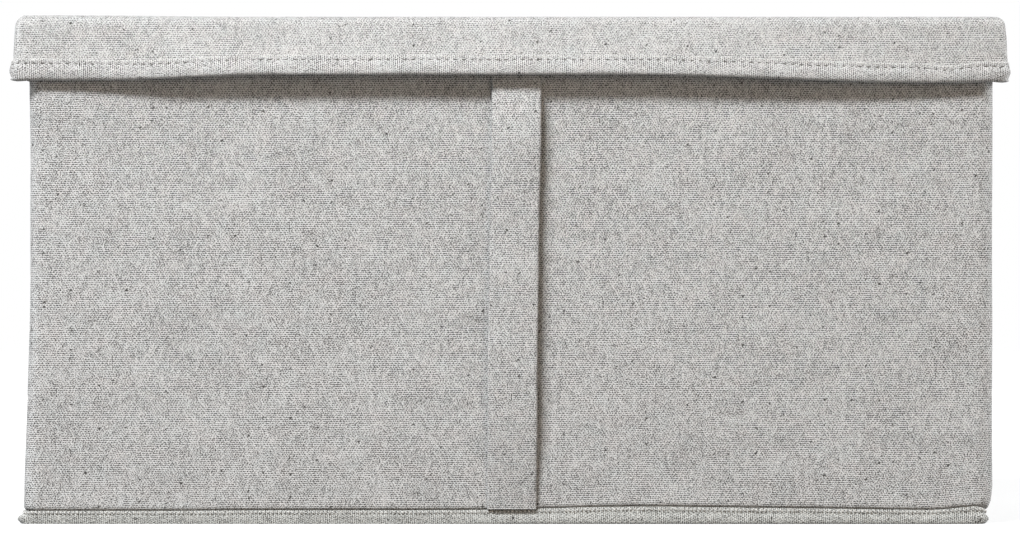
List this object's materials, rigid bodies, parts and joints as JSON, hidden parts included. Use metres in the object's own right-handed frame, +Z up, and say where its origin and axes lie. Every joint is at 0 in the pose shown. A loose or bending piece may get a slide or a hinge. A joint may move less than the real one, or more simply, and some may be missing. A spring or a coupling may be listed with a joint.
{
  "type": "lidded fabric storage box",
  "caption": "Board-stiffened canvas storage box with an attached skirted lid on a cloth hinge, taped seams, a pull strap on the front and a loose base board.",
  "frame": {"origin": "on the floor under the middle of the closed box, lid overhang included", "axes": "+Z up, -Y the front with the strap, +X to the right seen from the front"},
  "size_m": [0.5106, 0.3653, 0.26],
  "materials": {
    "canvas": "light grey melange plain-weave canvas, matt, flecked with darker slubs",
    "binding_tape": "the same cloth cut across as folded binding, ribs across the edge",
    "lining": "pale pressed non-woven lining, matt",
    "greyboard": "plain grey board"
  },
  "bodies": {
    "box": {"front_board": "greyboard", "back_board": "greyboard", "left_board": "greyboard", "right_board": "greyboard", "outer_cover": "canvas", "wall_lining": "lining", "bottom_cover": "canvas", "base_binding": "binding_tape", "hinge_strip": "canvas", "strap_top_end": "canvas", "strap_bottom_end": "canvas"},
    "lid": {"lid_board": "greyboard", "lid_cover": "canvas", "lid_lining": "lining", "lid_binding": "binding_tape", "skirt_board_front": "greyboard", "skirt_board_left": "greyboard", "skirt_board_right": "greyboard"},
    "strap": {"strap_grip": "canvas"},
    "base_insert": {"base_board": "greyboard", "base_board_cover": "lining", "tab_sewn_end": "binding_tape"},
    "tab": {"base_tab": "binding_tape"}
  },
  "joints": [
    {"name": "lid_hinge", "type": "hinge", "parent": "box", "child": "lid", "pos_m": [0, 0.18295, 0.26], "axis": [-1, 0, 0], "range_deg": [0, 220]},
    {"name": "strap_pull", "type": "slide", "parent": "box", "child": "strap", "axis": [0, -1, 0], "range_m": [0, 0.01], "stiffness_N_per_m": 25},
    {"name": "base_board_lift", "type": "slide", "parent": "box", "child": "base_insert", "axis": [0, 0, 1], "range_m": [0, 0.18]},
    {"name": "base_tab_flip", "type": "hinge", "parent": "base_insert", "child": "tab", "pos_m": [0.19905, 0.0059, 0.0147], "axis": [0, 1, 0], "range_deg": [0, 150]}
  ]
}
